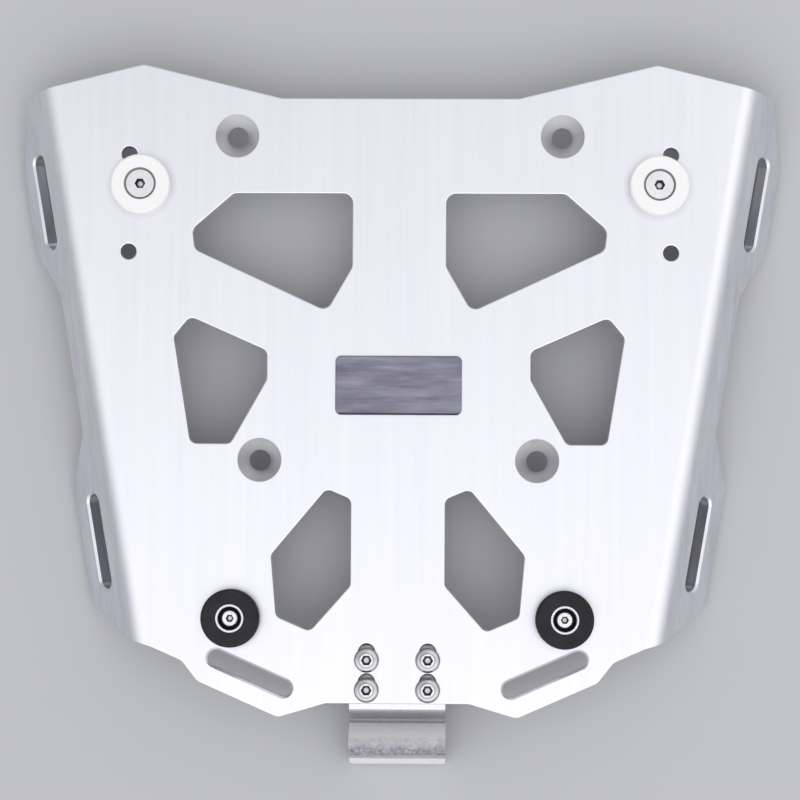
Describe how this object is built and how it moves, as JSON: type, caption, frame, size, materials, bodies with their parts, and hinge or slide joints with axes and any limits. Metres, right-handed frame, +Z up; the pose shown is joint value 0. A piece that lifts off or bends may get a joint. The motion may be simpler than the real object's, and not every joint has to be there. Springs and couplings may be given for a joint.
{
  "type": "motorcycle luggage rack",
  "caption": "Folded aluminium tail rack for a motorcycle, with windows, strap slots, case locators, rubber buffers and a bent latch catch at the rear edge.",
  "frame": {"origin": "on the plate's flat underside, on the middle line, 128 mm in front of the plate's straight rear edge", "axes": "+X across the rack to its right side as seen from behind, +Y to the front of the motorcycle, +Z up, out of the plate's top face"},
  "size_m": [0.3282, 0.2986, 0.0353],
  "materials": {
    "plate_aluminium": "fine bead-blasted, clear anodised",
    "badge_enamel": "satin grey-blue",
    "catch_steel": "polished stainless sheet",
    "locator_nylon": "turned white nylon",
    "buffer_rubber": "matt black",
    "ferrule_steel": "turned",
    "washer_steel": "stamped",
    "nut_steel": "zinc plated",
    "screw_steel": "stainless, cold formed"
  },
  "bodies": {
    "root": {"buffer_ferrule_left": "ferrule_steel", "buffer_ferrule_right": "ferrule_steel", "buffer_left": "buffer_rubber", "buffer_nut_left": "nut_steel", "buffer_nut_right": "nut_steel", "buffer_right": "buffer_rubber", "buffer_screw_left": "screw_steel", "buffer_screw_right": "screw_steel", "buffer_washer_left": "washer_steel", "buffer_washer_right": "washer_steel", "catch_bolt_1": "screw_steel", "catch_bolt_2": "screw_steel", "catch_bolt_3": "screw_steel", "catch_bolt_4": "screw_steel", "catch_nut_1": "nut_steel", "catch_nut_2": "nut_steel", "catch_nut_3": "nut_steel", "catch_nut_4": "nut_steel", "latch_catch": "catch_steel", "locator_left": "locator_nylon", "locator_nut_left": "nut_steel", "locator_nut_right": "nut_steel", "locator_right": "locator_nylon", "locator_screw_left": "screw_steel", "locator_screw_right": "screw_steel", "locator_washer_left": "washer_steel", "locator_washer_right": "washer_steel", "name_plate": "badge_enamel", "rack_plate": "plate_aluminium"}
  },
  "joints": []
}
